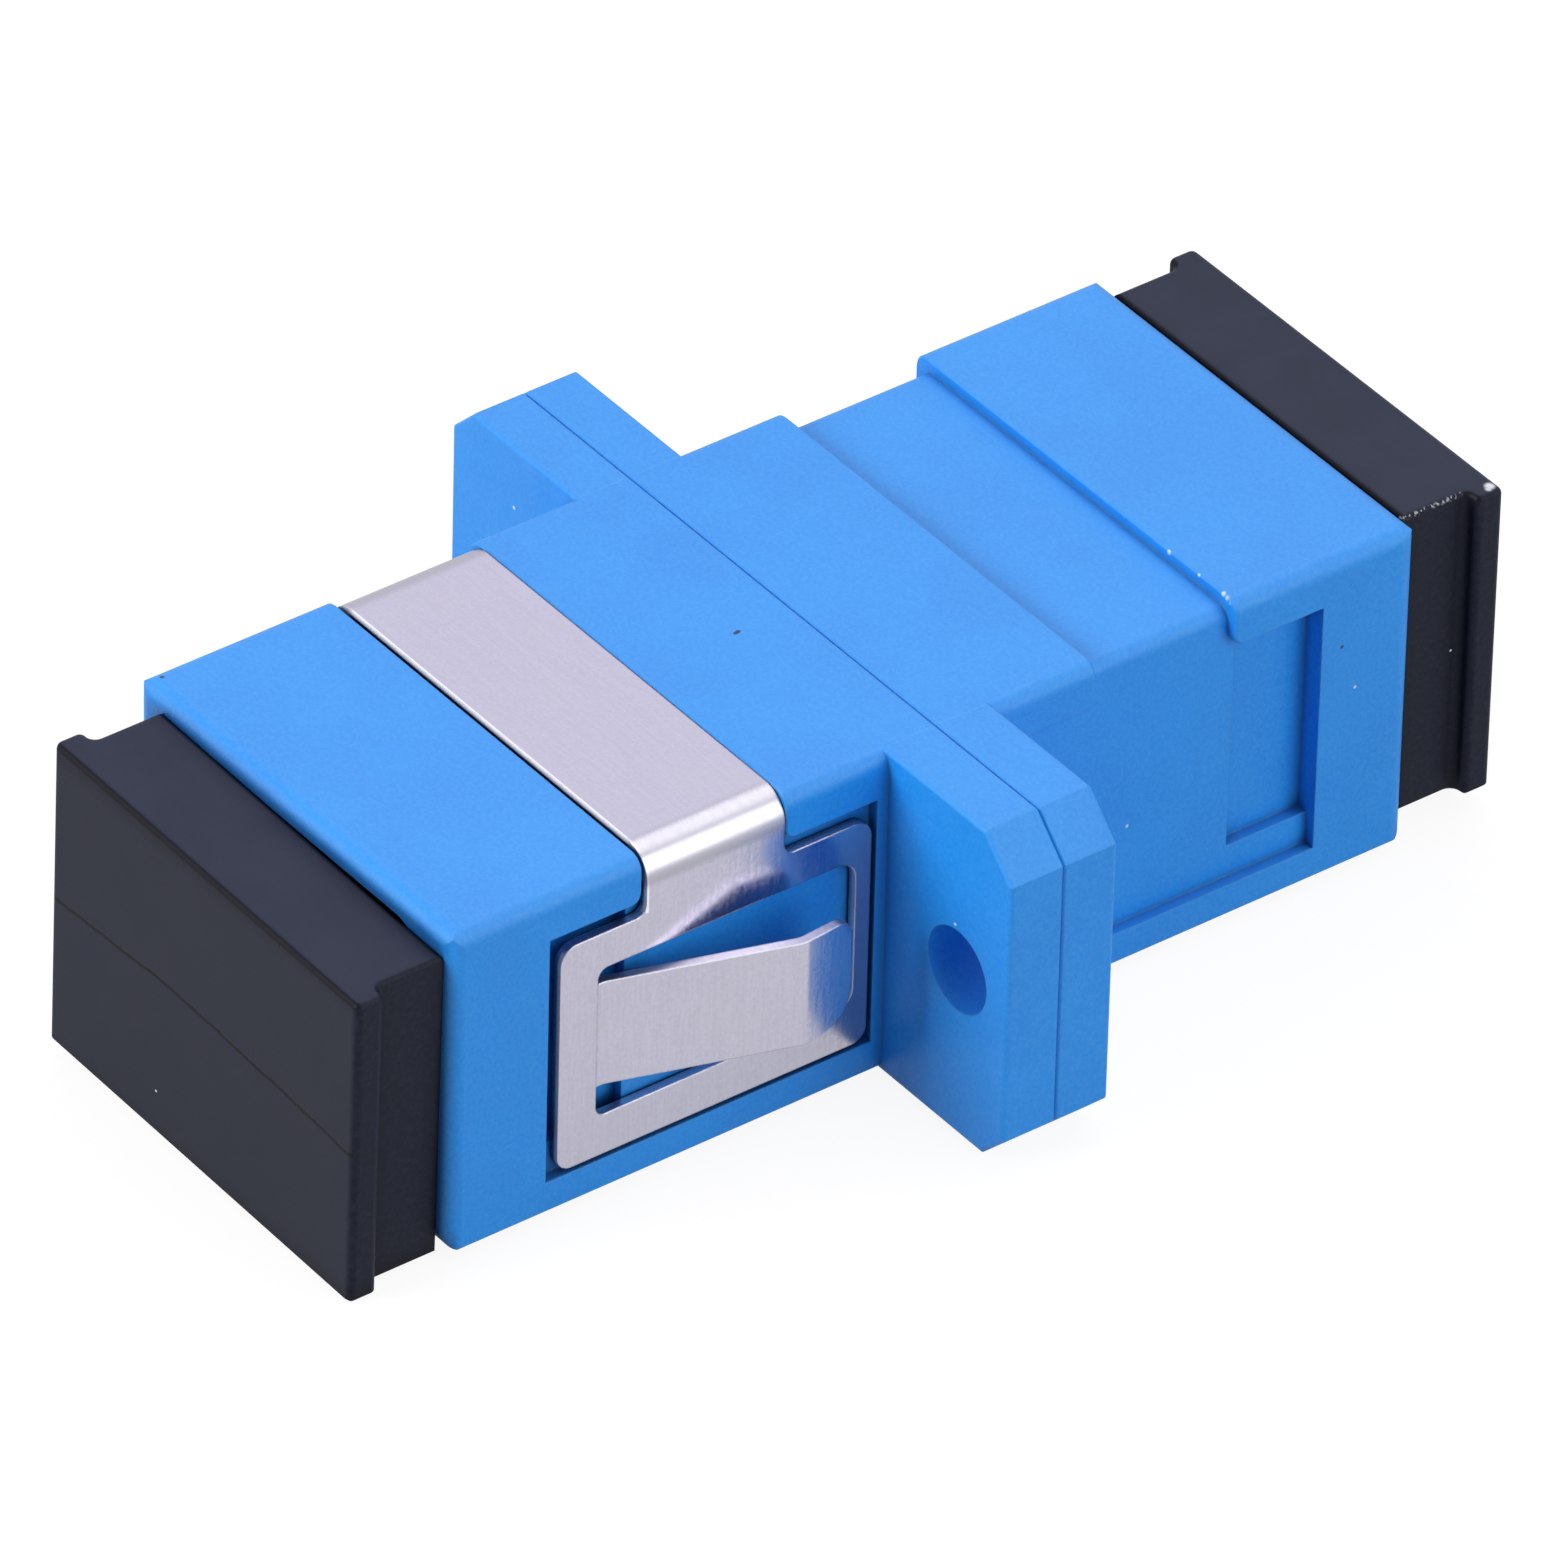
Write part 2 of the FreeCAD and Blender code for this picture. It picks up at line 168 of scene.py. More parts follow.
def spots(tree, coords, places):
    # small round marks with a soft rim: each place is x, y, z and a radius
    core = 0.45
    masks = []
    for x, y, z, radius in places:
        masks.append(remap(tree, away(tree, coords, (x, y, z)), radius * core, radius, 1.0, 0.0))
    return anyOf(tree, *masks)


def facing(tree):
    # the true normal's x, y and z
    geometry = tree.nodes.new("ShaderNodeNewGeometry")
    return axes(tree, geometry.outputs["True Normal"])


def within(tree, value, centre, halfWidth, feather):
    # 1 inside centre +- halfWidth, falling off over the feather
    offset = calc(tree, "ABSOLUTE", calc(tree, "SUBTRACT", value, centre))
    return remap(tree, offset, halfWidth, halfWidth + feather, 1.0, 0.0)


def allOf(tree, *masks):
    result = masks[0]
    for mask in masks[1:]:
        result = calc(tree, "MULTIPLY", result, mask)
    return result


def anyOf(tree, *masks):
    result = masks[0]
    for mask in masks[1:]:
        result = calc(tree, "MAXIMUM", result, mask)
    return result


# in the finishes below a noise is scale, detail and roughness, a band is centre, half width and
# feather, and a ramp is where a mask starts and where it is full; places are in millimetres

housingBlue = {
    "base": (0.004, 0.275, 0.82, 1),
    "deeper": (0.004, 0.255, 0.785, 1),
    "dustAndPaintedSheen": (0.86, 0.88, 0.92, 1),  # pale dust and painted sheen on faces that look up
    "grainAndHighlight": (0.07, 0.39, 0.86, 1),  # mould grain, and painted highlights on the edges and light lines
    "gapShade": (0.002, 0.045, 0.18, 1),
    "strayDust": (0.4, 0.68, 0.97, 1),
    "ringShade": (0.004, 0.14, 0.5, 1),
    "paleMark": (0.75, 0.86, 1.0, 1),
    "darkMark": (0.001, 0.006, 0.03, 1),
    "drift": (0.3, 3.0, 0.55),
    "streaks": (2.4, 4.0, 0.6),
    "streakStretch": (0.9, 2.0, 1.5),
    "fine": (9.0, 2.0, 0.65),
    "drifting": (0.35, 0.65),
    "mottled": (0.38, 0.62),
    "streaky": (0.3, 0.7),
    "mottleShare": 0.2,
    "paintedSheenShare": 0.025,
    "paintedSheenPatches": (0.8, 1.2),
    "lookingUp": (0.2, 0.95),
    "leftEarPlace": (-7.5, -8.0),
    "leftEarFront": (-0.8, -0.95),
    "leftEarPaintedSheen": 0.5,
    "edgeRadius": 0.07 * mm,
    "edgeTurn": (0.9, 0.995),
    "edgeHighlightShare": 0.7,
    "edgeHighlightPatches": (0.4, 1.0),
    "ejectorCentre": (6.9, 0.05),
    "ejectorRing": (1.15, 0.01, 0.04),
    "pocketFloor": (6.02, 0.05, 0.05),
    "farHalf": (0.0, 0.1),
    "ringShare": 0.12,
    "top": (4.6, 4.64),
    "longEdgeLightLine": (6.1, 0.01, 0.03),
    "besideBand": (4.5, 4.4),
    "mouthLightLine": (13.87, 0.005, 0.03),
    "mouthStreaks": (0.4, 0.7),
    "mouthPatches": (0.3, 1.0),
    "lightLineShare": 0.2,
    "scatterScale": 1.1,
    "scatterRim": (0.012, 0.035),
    "scatterChance": 0.9,
    "scatterShare": 0.35,
    "gapReach": 0.6 * mm,
    "gapShut": (0.36, 0.64),
    "gapFull": 0.95,
    "mouthReach": 1.0 * mm,
    "mouthShut": (0.01, 0.17),
    "mouthFull": 0.92,
    "mouthRound": (13.95, 14.12),
    "seam": (0.0, 0.1, 0.05),
    "seamShare": 0.55,  # how dark the seam gets beside the other gaps
    "roughStreaks": (0.25, 0.75),
    "roughness": (0.44, 0.54),
    "reliefShares": (0.9, 0.7),  # fine grain and streaks
    "grainDepth": 0.0012 * mm,
    "grainStrength": 0.6,
    "markDepth": 0.01 * mm,
    "markStrength": 0.5,
    "ringSink": -0.4,
    "darkSpecks": (
        (0.42, -1.6, 4.65, 0.08), (0.43, -1.65, 4.65, 0.08), (0.44, -1.71, 4.65, 0.07),
        (-5.95, -13.85, 4.65, 0.08), (6.35, 12.08, 1.99, 0.07), (6.0, 5.5, 4.25, 0.08),
    ),
    "paleSpecks": (
        (6.35, 12.54, 0.6, 0.06), (6.02, 5.96, -0.94, 0.06), (9.07, -1.575, 1.28, 0.06),
        (-8.6, -1.575, 2.9, 0.07), (6.3, 14.2, 4.35, 0.09), (3.69, 8.78, 4.58, 0.09),
        (4.86, 8.8, 4.6, 0.06), (5.8, 8.82, 4.6, 0.09), (5.95, 8.84, 4.56, 0.1),
        (6.08, 8.84, 4.5, 0.08),
    ),
    "paleShare": 0.75,
    "darkShare": 0.9,
}


def makeHousingPlastic(spec):
    material, tree, shader = startMaterial("mouldedBluePlastic")
    coords = inMillimetres(tree)
    x, y, z = axes(tree, coords)
    sideways = calc(tree, "ABSOLUTE", x)
    along = calc(tree, "ABSOLUTE", y)
    ny, nz = facing(tree)[1:]

    # slow tone drift, fine flow streaks and a mould grain
    drift = grainNoise(tree, coords, *spec["drift"])
    streaks = grainNoise(tree, inMillimetres(tree, spec["streakStretch"]), *spec["streaks"])
    fine = grainNoise(tree, coords, *spec["fine"])
    tone = blendColours(tree, remap(tree, drift, *spec["drifting"]), spec["base"], spec["deeper"])
    mottle = remap(tree, fine, *spec["mottled"], 0.0, spec["mottleShare"])
    tone = blendColours(tree, mottle, tone, spec["grainAndHighlight"])

    # painted sheen and some pale dust lie on the upper faces, and a little painted sheen on the
    # front of the left ear
    leftEar = allOf(
        tree, remap(tree, x, *spec["leftEarPlace"]), remap(tree, ny, *spec["leftEarFront"])
    )
    sheenFaces = anyOf(
        tree, remap(tree, nz, *spec["lookingUp"]), scaled(tree, leftEar, spec["leftEarPaintedSheen"])
    )
    dustAndPaintedSheen = allOf(tree, sheenFaces, remap(tree, streaks, *spec["streaky"], *spec["paintedSheenPatches"]))
    tone = blendColours(tree, scaled(tree, dustAndPaintedSheen, spec["paintedSheenShare"]), tone, spec["dustAndPaintedSheen"])

    # painted highlight on the edges: the rounded normal turns away from the plain one there
    edgeNormal = softEdges(tree, spec["edgeRadius"])
    geometry = tree.nodes.new("ShaderNodeNewGeometry")
    alike = tree.nodes.new("ShaderNodeVectorMath")
    alike.operation = "DOT_PRODUCT"
    tree.links.new(edgeNormal, alike.inputs[0])
    tree.links.new(geometry.outputs["Normal"], alike.inputs[1])
    patchyPaintedLight = remap(tree, alike.outputs["Value"], *spec["edgeTurn"], spec["edgeHighlightShare"], 0.0)
    patchyPaintedLight = allOf(tree, patchyPaintedLight, remap(tree, streaks, *spec["streaky"], *spec["edgeHighlightPatches"]))
    tone = blendColours(tree, patchyPaintedLight, tone, spec["grainAndHighlight"])

    # very faint ejector ring on the far half's pocket floors
    ringY = calc(tree, "SUBTRACT", along, spec["ejectorCentre"][0])
    ringZ = calc(tree, "SUBTRACT", z, spec["ejectorCentre"][1])
    squares = calc(tree, "ADD", calc(tree, "POWER", ringY, 2.0), calc(tree, "POWER", ringZ, 2.0))
    ring = allOf(
        tree,
        within(tree, calc(tree, "SQRT", squares), *spec["ejectorRing"]),
        within(tree, sideways, *spec["pocketFloor"]),
        remap(tree, y, *spec["farHalf"]),
    )

    # painted light line where the end's rounding starts, and faint ones beside the top's long
    # edges
    longEdgeLight = allOf(
        tree,
        within(tree, sideways, *spec["longEdgeLightLine"]),
        remap(tree, z, *spec["top"]),
        remap(tree, along, *spec["besideBand"]),
    )
    mouthLightLine = within(tree, along, *spec["mouthLightLine"])
    patches = remap(tree, streaks, *spec["mouthStreaks"], *spec["mouthPatches"])
    mouthLightLine = allOf(tree, mouthLightLine, patches)
    lightLines = anyOf(tree, longEdgeLight, mouthLightLine)

    # dust
    pale = spots(tree, coords, spec["paleSpecks"])
    dark = spots(tree, coords, spec["darkSpecks"])
    scatter = tree.nodes.new("ShaderNodeTexVoronoi")
    tree.links.new(coords, scatter.inputs["Vector"])
    scatter.inputs["Scale"].default_value = spec["scatterScale"]
    chance = axes(tree, scatter.outputs["Color"])[0]
    near = remap(tree, scatter.outputs["Distance"], *spec["scatterRim"], 1.0, 0.0)
    stray = allOf(tree, near, calc(tree, "GREATER_THAN", chance, spec["scatterChance"]))
    for mask, amount, colour in (
        (stray, spec["scatterShare"], spec["strayDust"]),
        (ring, spec["ringShare"], spec["ringShade"]),
        (lightLines, spec["lightLineShare"], spec["grainAndHighlight"]),
        (pale, spec["paleShare"], spec["paleMark"]),
        (dark, spec["darkShare"], spec["darkMark"]),
    ):
        tone = blendColours(tree, scaled(tree, mask, amount), tone, colour)

    # little light gets into the narrow gaps
    shut = crevice(tree, spec["gapReach"])
    mouthShut = crevice(tree, spec["mouthReach"])
    atSeam = within(tree, y, *spec["seam"])
    depth = calc(tree, "MULTIPLY_ADD", atSeam, spec["seamShare"] - 1.0, 1.0)
    gap = anyOf(
        tree,
        allOf(tree, remap(tree, shut, *spec["gapShut"], 0.0, spec["gapFull"]), depth),
        allOf(
            tree,
            remap(tree, along, *spec["mouthRound"]),
            remap(tree, mouthShut, *spec["mouthShut"], 0.0, spec["mouthFull"]),
        ),
    )
    tone = blendColours(tree, gap, tone, spec["gapShade"])

    roughness = remap(tree, streaks, *spec["roughStreaks"], *spec["roughness"])
    fineShare, streakShare = spec["reliefShares"]
    height = calc(tree, "ADD", scaled(tree, fine, fineShare), scaled(tree, streaks, streakShare))
    normal = relief(tree, height, spec["grainDepth"], spec["grainStrength"], edgeNormal)
    sunk = scaled(tree, ring, spec["ringSink"])
    marks = calc(tree, "ADD", sunk, calc(tree, "ADD", longEdgeLight, pale))
    normal = relief(tree, marks, spec["markDepth"], spec["markStrength"], normal)

    plug(tree, shader.inputs["Base Color"], tone)
    plug(tree, shader.inputs["Roughness"], roughness)
    plug(tree, shader.inputs["Normal"], normal)
    return material


clipSteel = {
    "base": (0.6, 0.585, 0.69, 1),
    "shade": (0.55, 0.535, 0.63, 1),
    "clouded": (0.6, 0.57, 0.6, 1),
    "cutEdge": (0.66, 0.62, 0.66, 1),
    "rimHighlight": (0.95, 0.95, 0.97, 1),
    "paintedBendShade": (0.45, 0.44, 0.48, 1),
    "gapShade": (0.02, 0.025, 0.05, 1),
    "grain": (1.5, 3.0, 0.6),
    "grainStretch": (0.5, 10, 0.5),
    "fine": (10.0, 3.0, 0.65),
    "cloud": (0.5, 3.0, 0.5),
    "torn": (7.0, 4.0, 0.7),
    "mottleShares": (0.45, 0.55),  # rolled grain and fine grain
    "mottled": (0.35, 0.65),
    "cloudy": (0.4, 0.7),
    "cloudShare": 0.2,
    "endFacing": (0.6, 0.8),
    "sideFacing": (0.6, 0.4),
    "legPlace": (6.06, 6.1),
    "legHead": (3.4, 3.2),
    "outerTop": (4.48, 4.54),
    "outerSide": (6.18, 6.24),
    "rimLine": (-8.62, 0.03, 0.03),
    "rimFoot": (2.95, 3.0),
    "tearing": (0.4, 0.62),
    "tornFrom": 0.35,
    "gapReach": 0.5 * mm,
    "gapShut": (0.35, 0.6),
    "bendSide": (5.4, 5.7),
    "bendTop": (3.6, 3.9),
    "bendShadeShare": 0.8,
    "roughness": (0.14, 0.24),
    "dulled": 0.14,
    "burrMetal": 0.2,
    "fineRelief": 0.8,
    "grainDepth": 0.0004 * mm,
    "grainStrength": 0.5,
    "edgeRadius": 0.06 * mm,
}


def makeClipSteel(spec):
    material, tree, shader = startMaterial("rolledSpringSteel")
    coords = inMillimetres(tree)
    x, y, z = axes(tree, coords)
    sideways = calc(tree, "ABSOLUTE", x)

    # rolling grain runs round the strip, across the ferrule axis
    grain = grainNoise(tree, inMillimetres(tree, spec["grainStretch"]), *spec["grain"])
    fine = grainNoise(tree, coords, *spec["fine"])
    cloud = grainNoise(tree, coords, *spec["cloud"])
    rolledShare, fineShare = spec["mottleShares"]
    mottle = calc(tree, "ADD", scaled(tree, grain, rolledShare), scaled(tree, fine, fineShare))
    tone = blendColours(tree, remap(tree, mottle, *spec["mottled"]), spec["base"], spec["shade"])
    clouds = remap(tree, cloud, *spec["cloudy"], 0.0, spec["cloudShare"])
    tone = blendColours(tree, clouds, tone, spec["clouded"])

    # sheared faces are brighter than the rolled ones, and a painted highlight lies on the
    # burnished rim beside them
    nx, ny = facing(tree)[:2]
    acrossEnd = remap(tree, calc(tree, "ABSOLUTE", ny), *spec["endFacing"])
    onLeg = allOf(tree, remap(tree, sideways, *spec["legPlace"]), remap(tree, z, *spec["legHead"]))
    offFlat = remap(tree, calc(tree, "ABSOLUTE", nx), *spec["sideFacing"])
    outerRim = anyOf(
        tree, remap(tree, z, *spec["outerTop"]), remap(tree, sideways, *spec["outerSide"])
    )
    rimLine = within(tree, y, *spec["rimLine"])
    rimHighlightMask = allOf(tree, rimLine, outerRim, remap(tree, z, *spec["rimFoot"]))
    burr = allOf(tree, acrossEnd, outerRim)
    sheared = anyOf(tree, acrossEnd, allOf(tree, onLeg, offFlat))
    tears = grainNoise(tree, coords, *spec["torn"])
    torn = remap(tree, tears, *spec["tearing"], spec["tornFrom"], 1.0)
    tone = blendColours(tree, allOf(tree, sheared, torn), tone, spec["cutEdge"])
    tone = blendColours(tree, rimHighlightMask, tone, spec["rimHighlight"])
    # painted shade on cut and side faces in narrow gaps, kept off the outer rim
    shut = remap(tree, crevice(tree, spec["gapReach"]), *spec["gapShut"])
    sunk = allOf(tree, anyOf(tree, acrossEnd, offFlat), shut)
    sunk = allOf(tree, sunk, calc(tree, "SUBTRACT", 1.0, outerRim))
    tone = blendColours(tree, sunk, tone, spec["gapShade"])

    # painted shade darkens the bends, folding leaves them dull, and the shears leave a rough face
    roughness = remap(tree, mottle, *spec["mottled"], *spec["roughness"])
    bend = allOf(tree, remap(tree, sideways, *spec["bendSide"]), remap(tree, z, *spec["bendTop"]))
    tone = blendColours(tree, scaled(tree, bend, spec["bendShadeShare"]), tone, spec["paintedBendShade"])
    dull = anyOf(tree, bend, sheared)
    roughness = calc(tree, "MULTIPLY_ADD", dull, spec["dulled"], roughness)
    height = calc(tree, "ADD", grain, scaled(tree, fine, spec["fineRelief"]))
    edgeNormal = softEdges(tree, spec["edgeRadius"])
    normal = relief(tree, height, spec["grainDepth"], spec["grainStrength"], edgeNormal)
    metal = calc(tree, "MULTIPLY_ADD", burr, spec["burrMetal"] - 1.0, 1.0)

    plug(tree, shader.inputs["Metallic"], metal)
    plug(tree, shader.inputs["Base Color"], tone)
    plug(tree, shader.inputs["Roughness"], roughness)
    plug(tree, shader.inputs["Normal"], normal)
    return material


capBlack = {
    "base": (0.004, 0.006, 0.017, 1),
    "paintedTopLight": (0.023, 0.028, 0.052, 1),  # painted light on top faces
    "paintedEndLight": (0.0105, 0.0125, 0.024, 1),
    "pebbled": (0.04, 0.043, 0.068, 1),
    "paintedEdgeShade": (0.001, 0.001, 0.004, 1),
    "gapShade": (0.001, 0.001, 0.002, 1),
    "dust": (0.7, 0.72, 0.78, 1),
    "pebble": (6.5, 4.0, 0.7),
    "cloud": (0.6, 3.0, 0.6),
    "cloudy": (0.3, 0.7),
    "cloudFrom": 0.8,
    "lookingUp": (0.75, 0.98),
    "lookingOut": (-0.75, -0.98),
    "pebbles": (0.35, 0.75),
    "pebbleShare": 0.3,
    "endTurn": (-0.5, -0.8),
    "edgeShadeBand": (3.5, 4.0),  # painted shade: darker strip under the front cap's upper edge
    "edgeShadeShare": 0.5,
    "arcOut": (-0.2, -0.4),
    "arcUp": (0.1, 0.25),
    "arcTop": (0.96, 0.85),
    "arcShare": 0.9,
    "gapReach": 0.7 * mm,
    "gapShut": (0.2, 0.42),
    "gapFull": 0.9,
    "waver": (0.35, 3.0, 0.6),
    "waverStretch": (1, 0.2, 0),
    "waverSize": 0.3,
    "partingHeight": -0.2,
    "partingPeak": -0.9,  # the line is highest here and slopes down to both sides
    "partingSlope": -0.06,
    "partingLine": (0.0, 0.03, 0.05),
    "frontEnd": (-17.0, -17.09),
    "partingShare": 0.9,
    "partingDepth": 4.0,
    "dustGrain": (11.0, 1.0, 0.6),
    "dustSide": (5.6, 0.04, 0.05),  # along the rear cap's upper edge
    "dustTop": (4.36, 0.05, 0.05),
    "dustBits": (0.52, 0.6),
    "dustShare": 0.6,
    "dustStart": (14.2, 14.4),
    "paleSpecks": (
        (5.85, 16.85, 4.55, 0.2), (5.93, 16.75, 4.55, 0.15), (5.69, 16.02, -0.18, 0.045),
        (-1.56, -17.1, -3.5, 0.045),
    ),
    "roughPebbles": (0.3, 0.7),
    "roughness": (0.45, 0.58),
    "grainDepth": 0.004 * mm,
    "grainStrength": 0.6,
    "edgeRadius": 0.05 * mm,
    "sheen": 0.15,
}


def makeCapPlastic(spec):
    material, tree, shader = startMaterial("softBlackPlastic")
    coords = inMillimetres(tree)
    x, y, z = axes(tree, coords)
    ny, nz = facing(tree)[1:]
    pebble = grainNoise(tree, coords, *spec["pebble"])
    cloud = grainNoise(tree, coords, *spec["cloud"])

    # painted light on the top and end faces, in cloudy patches
    patchyPaintedLight = remap(tree, cloud, *spec["cloudy"], spec["cloudFrom"], 1.0)
    litTop = allOf(tree, remap(tree, nz, *spec["lookingUp"]), patchyPaintedLight)
    tone = blendColours(tree, litTop, spec["base"], spec["paintedTopLight"])
    litEnd = allOf(tree, remap(tree, ny, *spec["lookingOut"]), patchyPaintedLight)
    tone = blendColours(tree, litEnd, tone, spec["paintedEndLight"])
    pebbles = remap(tree, pebble, *spec["pebbles"], 0.0, spec["pebbleShare"])
    tone = blendColours(tree, pebbles, tone, spec["pebbled"])

    # painted shade under the upper edge of the front cap's end and on the rounding above it, and
    # where a cap is tucked in its port
    edgeShade = allOf(
        tree,
        remap(tree, ny, *spec["endTurn"]),
        remap(tree, z, *spec["edgeShadeBand"], 0.0, spec["edgeShadeShare"]),
    )
    arc = allOf(
        tree,
        remap(tree, ny, *spec["arcOut"]),
        remap(tree, nz, *spec["arcUp"]),
        remap(tree, nz, *spec["arcTop"]),
    )
    edgeShade = anyOf(tree, edgeShade, scaled(tree, arc, spec["arcShare"]))
    tone = blendColours(tree, edgeShade, tone, spec["paintedEdgeShade"])
    shut = crevice(tree, spec["gapReach"])
    tucked = remap(tree, shut, *spec["gapShut"], 0.0, spec["gapFull"])
    tone = blendColours(tree, tucked, tone, spec["gapShade"])

    # wavering parting line across the front cap's end
    waver = grainNoise(tree, inMillimetres(tree, spec["waverStretch"]), *spec["waver"])
    fromPeak = calc(tree, "ABSOLUTE", calc(tree, "SUBTRACT", x, spec["partingPeak"]))
    slope = scaled(tree, fromPeak, spec["partingSlope"])
    wave = calc(tree, "MULTIPLY_ADD", waver, spec["waverSize"], spec["partingHeight"])
    level = calc(tree, "ADD", wave, slope)
    parting = within(tree, calc(tree, "SUBTRACT", z, level), *spec["partingLine"])
    parting = allOf(tree, parting, remap(tree, y, *spec["frontEnd"]))
    tone = blendColours(tree, scaled(tree, parting, spec["partingShare"]), tone, spec["gapShade"])

    # dust
    bits = grainNoise(tree, coords, *spec["dustGrain"])
    row = allOf(
        tree,
        within(tree, x, *spec["dustSide"]),
        within(tree, z, *spec["dustTop"]),
        remap(tree, bits, *spec["dustBits"], 0.0, spec["dustShare"]),
        remap(tree, y, *spec["dustStart"]),
    )
    pale = anyOf(tree, spots(tree, coords, spec["paleSpecks"]), row)
    tone = blendColours(tree, pale, tone, spec["dust"])

    roughness = remap(tree, pebble, *spec["roughPebbles"], *spec["roughness"])
    height = calc(tree, "SUBTRACT", pebble, scaled(tree, parting, spec["partingDepth"]))
    edgeNormal = softEdges(tree, spec["edgeRadius"])
    normal = relief(tree, height, spec["grainDepth"], spec["grainStrength"], edgeNormal)
    plug(tree, shader.inputs["Base Color"], tone)
    plug(tree, shader.inputs["Roughness"], roughness)
    plug(tree, shader.inputs["Normal"], normal)
    shader.inputs["Specular IOR Level"].default_value = spec["sheen"]
    return material


holderNatural = {
    "base": (0.74, 0.72, 0.66, 1),
    "shade": (0.66, 0.63, 0.56, 1),
    "cloud": (0.7, 3.0, 0.6),
    "cloudy": (0.35, 0.7),
    "fine": (8.0, 3.0, 0.6),
    "roughGrain": (0.3, 0.7),
    "roughness": (0.37, 0.5),
    "grainDepth": 0.003 * mm,
    "grainStrength": 0.6,
    "edgeRadius": 0.06 * mm,
}


def makeHolderPlastic(spec):
    material, tree, shader = startMaterial("naturalHolderPlastic")
    coords = inMillimetres(tree)
    cloud = grainNoise(tree, coords, *spec["cloud"])
    fine = grainNoise(tree, coords, *spec["fine"])
    tone = blendColours(tree, remap(tree, cloud, *spec["cloudy"]), spec["base"], spec["shade"])
    roughness = remap(tree, fine, *spec["roughGrain"], *spec["roughness"])
    edgeNormal = softEdges(tree, spec["edgeRadius"])
    normal = relief(tree, fine, spec["grainDepth"], spec["grainStrength"], edgeNormal)
    plug(tree, shader.inputs["Base Color"], tone)
    plug(tree, shader.inputs["Roughness"], roughness)
    plug(tree, shader.inputs["Normal"], normal)
    return material


sleeveCeramic = {
    "base": (0.88, 0.87, 0.83, 1),
    "shade": (0.82, 0.8, 0.74, 1),
    "cloud": (1.2, 2.0, 0.5),
    "cloudy": (0.35, 0.7),
    "grinding": (1.2, 2.0, 0.6),
    "grindingStretch": (1, 30, 1),
    "roughGrain": (0.3, 0.7),
    "roughness": (0.12, 0.24),
    "grainDepth": 0.0006 * mm,
    "grainStrength": 0.5,
}


def makeSleeveCeramic(spec):
    material, tree, shader = startMaterial("groundWhiteCeramic")
    coords = inMillimetres(tree)
    cloud = grainNoise(tree, coords, *spec["cloud"])
    grinding = grainNoise(tree, inMillimetres(tree, spec["grindingStretch"]), *spec["grinding"])
    tone = blendColours(tree, remap(tree, cloud, *spec["cloudy"]), spec["base"], spec["shade"])
    roughness = remap(tree, grinding, *spec["roughGrain"], *spec["roughness"])
    normal = relief(tree, grinding, spec["grainDepth"], spec["grainStrength"])
    plug(tree, shader.inputs["Base Color"], tone)
    plug(tree, shader.inputs["Roughness"], roughness)
    plug(tree, shader.inputs["Normal"], normal)
    return material


def dress(node, material):
    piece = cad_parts[node]
    for slot in piece.material_slots:
        slot.material = material
    if not piece.material_slots:
        piece.data.materials.append(material)


springClip = {
    "sheet": 0.25 * mm,
    "legFace": 6.34 * mm,  # outer face of the legs
    "windowEnd": 10.02 * mm,  # port end of the window that the tongue is cut from
    "tongueRoot": 10.6 * mm,
    "tongueFoot": -1.57 * mm,
    "tongueHead": 1.5 * mm,
    "hair": 0.005 * mm,  # play when a corner is matched to a face
    "mergeWithin": 0.002 * mm,
    "sharpFrom": 25,  # degrees
}


def pressTongues(spec):
    # the visible clip: the solid's tongues start proud of the legs, these leave them flush
    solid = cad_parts["mounting_clip"]
    clip = bpy.data.objects.new("pressedClip", solid.data.copy())
    clip.matrix_world = solid.matrix_world
    bpy.context.scene.collection.objects.link(clip)
    face = spec["legFace"]
    hair = spec["hair"]
    form = bmesh.new()
    form.from_mesh(clip.data)
    for vertex in form.verts:
        x, y, z = vertex.co
        if abs(y) > spec["tongueRoot"] or not spec["tongueFoot"] < z < spec["tongueHead"]:
            continue
        outside = abs(x) > face + hair
        behindRoot = abs(abs(x) - face) <= hair and face < abs(y) < spec["windowEnd"] - hair
        if outside or behindRoot:
            vertex.co.x -= math.copysign(spec["sheet"], x)
    bmesh.ops.remove_doubles(form, verts=form.verts, dist=spec["mergeWithin"])
    bmesh.ops.dissolve_degenerate(form, edges=form.edges, dist=spec["mergeWithin"])
    form.to_mesh(clip.data)
    form.free()
    for polygon in clip.data.polygons:
        polygon.use_smooth = True
    if "custom_normal" in clip.data.attributes:
        clip.data.attributes.remove(clip.data.attributes["custom_normal"])
    clip.data.set_sharp_from_angle(angle=math.radians(spec["sharpFrom"]))
    clip.modifiers.new("flatFacesStayFlat", "WEIGHTED_NORMAL").keep_sharp = True
    clip.data.materials.clear()
    clip.data.materials.append(makeClipSteel(clipSteel))
    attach(clip, "adapter")
    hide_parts("mounting_clip")


bluePlastic = makeHousingPlastic(housingBlue)
blackPlastic = makeCapPlastic(capBlack)
holderPlastic = makeHolderPlastic(holderNatural)
for half in ("front_housing", "rear_housing"):
    dress(half, bluePlastic)
for cap in ("front_dust_cap", "rear_dust_cap"):
    dress(cap, blackPlastic)
for holder in ("front_latch_holder", "rear_latch_holder"):
    dress(holder, holderPlastic)
pressTongues(springClip)
dress("alignment_sleeve", makeSleeveCeramic(sleeveCeramic))
print("finishes on the moulded, folded and ceramic pieces")


